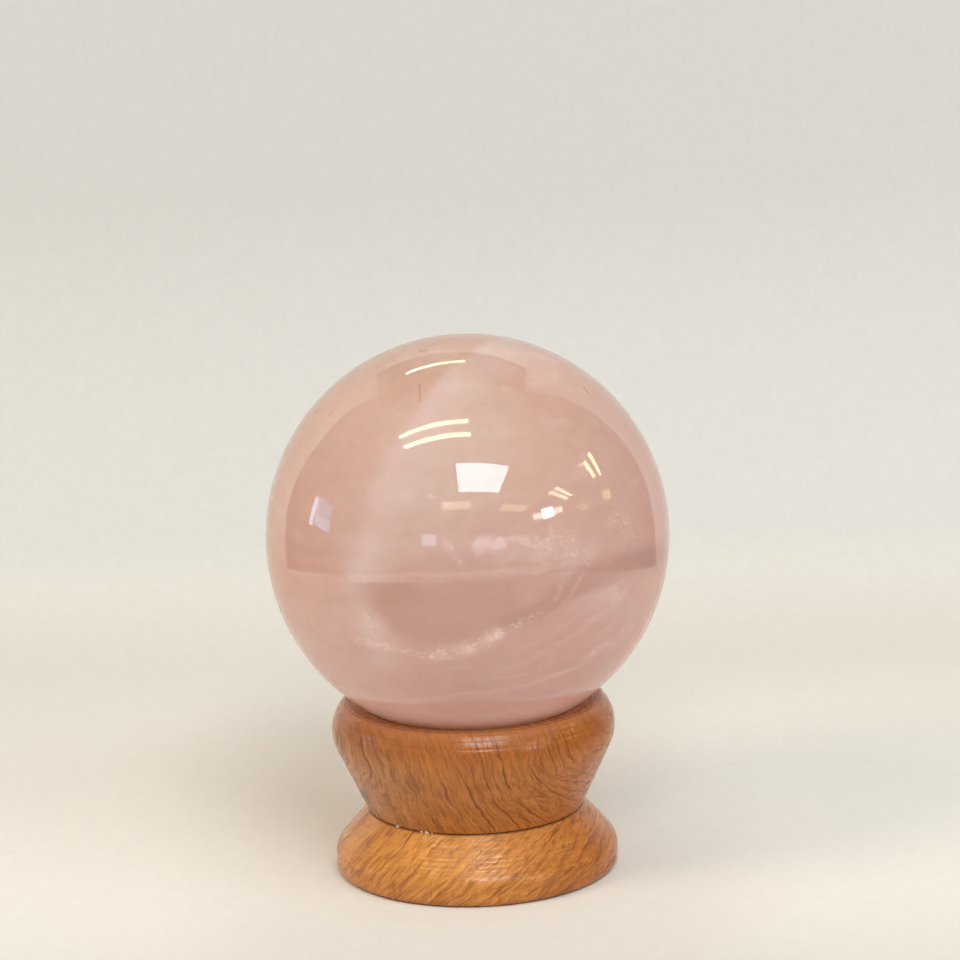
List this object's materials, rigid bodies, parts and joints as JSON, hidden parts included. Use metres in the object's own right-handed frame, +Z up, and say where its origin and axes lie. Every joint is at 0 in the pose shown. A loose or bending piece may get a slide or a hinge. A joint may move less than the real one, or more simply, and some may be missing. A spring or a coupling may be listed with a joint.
{
  "type": "rose quartz sphere on stand",
  "caption": "Polished rose quartz sphere resting in the dished cup of a small turned wooden stand, made of a flared cup glued onto a spreading round base.",
  "frame": {"origin": "middle of the stand's underside, on the surface that it stands on", "axes": "+Z up, along the axis of the turned stand and through the sphere's centre"},
  "size_m": [0.064, 0.064, 0.0864],
  "materials": {
    "rose_quartz": "polished",
    "cup_wood": "satin",
    "base_wood": "satin"
  },
  "bodies": {
    "root": {"quartz_sphere": "rose_quartz", "stand_cup": "cup_wood", "stand_base": "base_wood"}
  },
  "joints": []
}
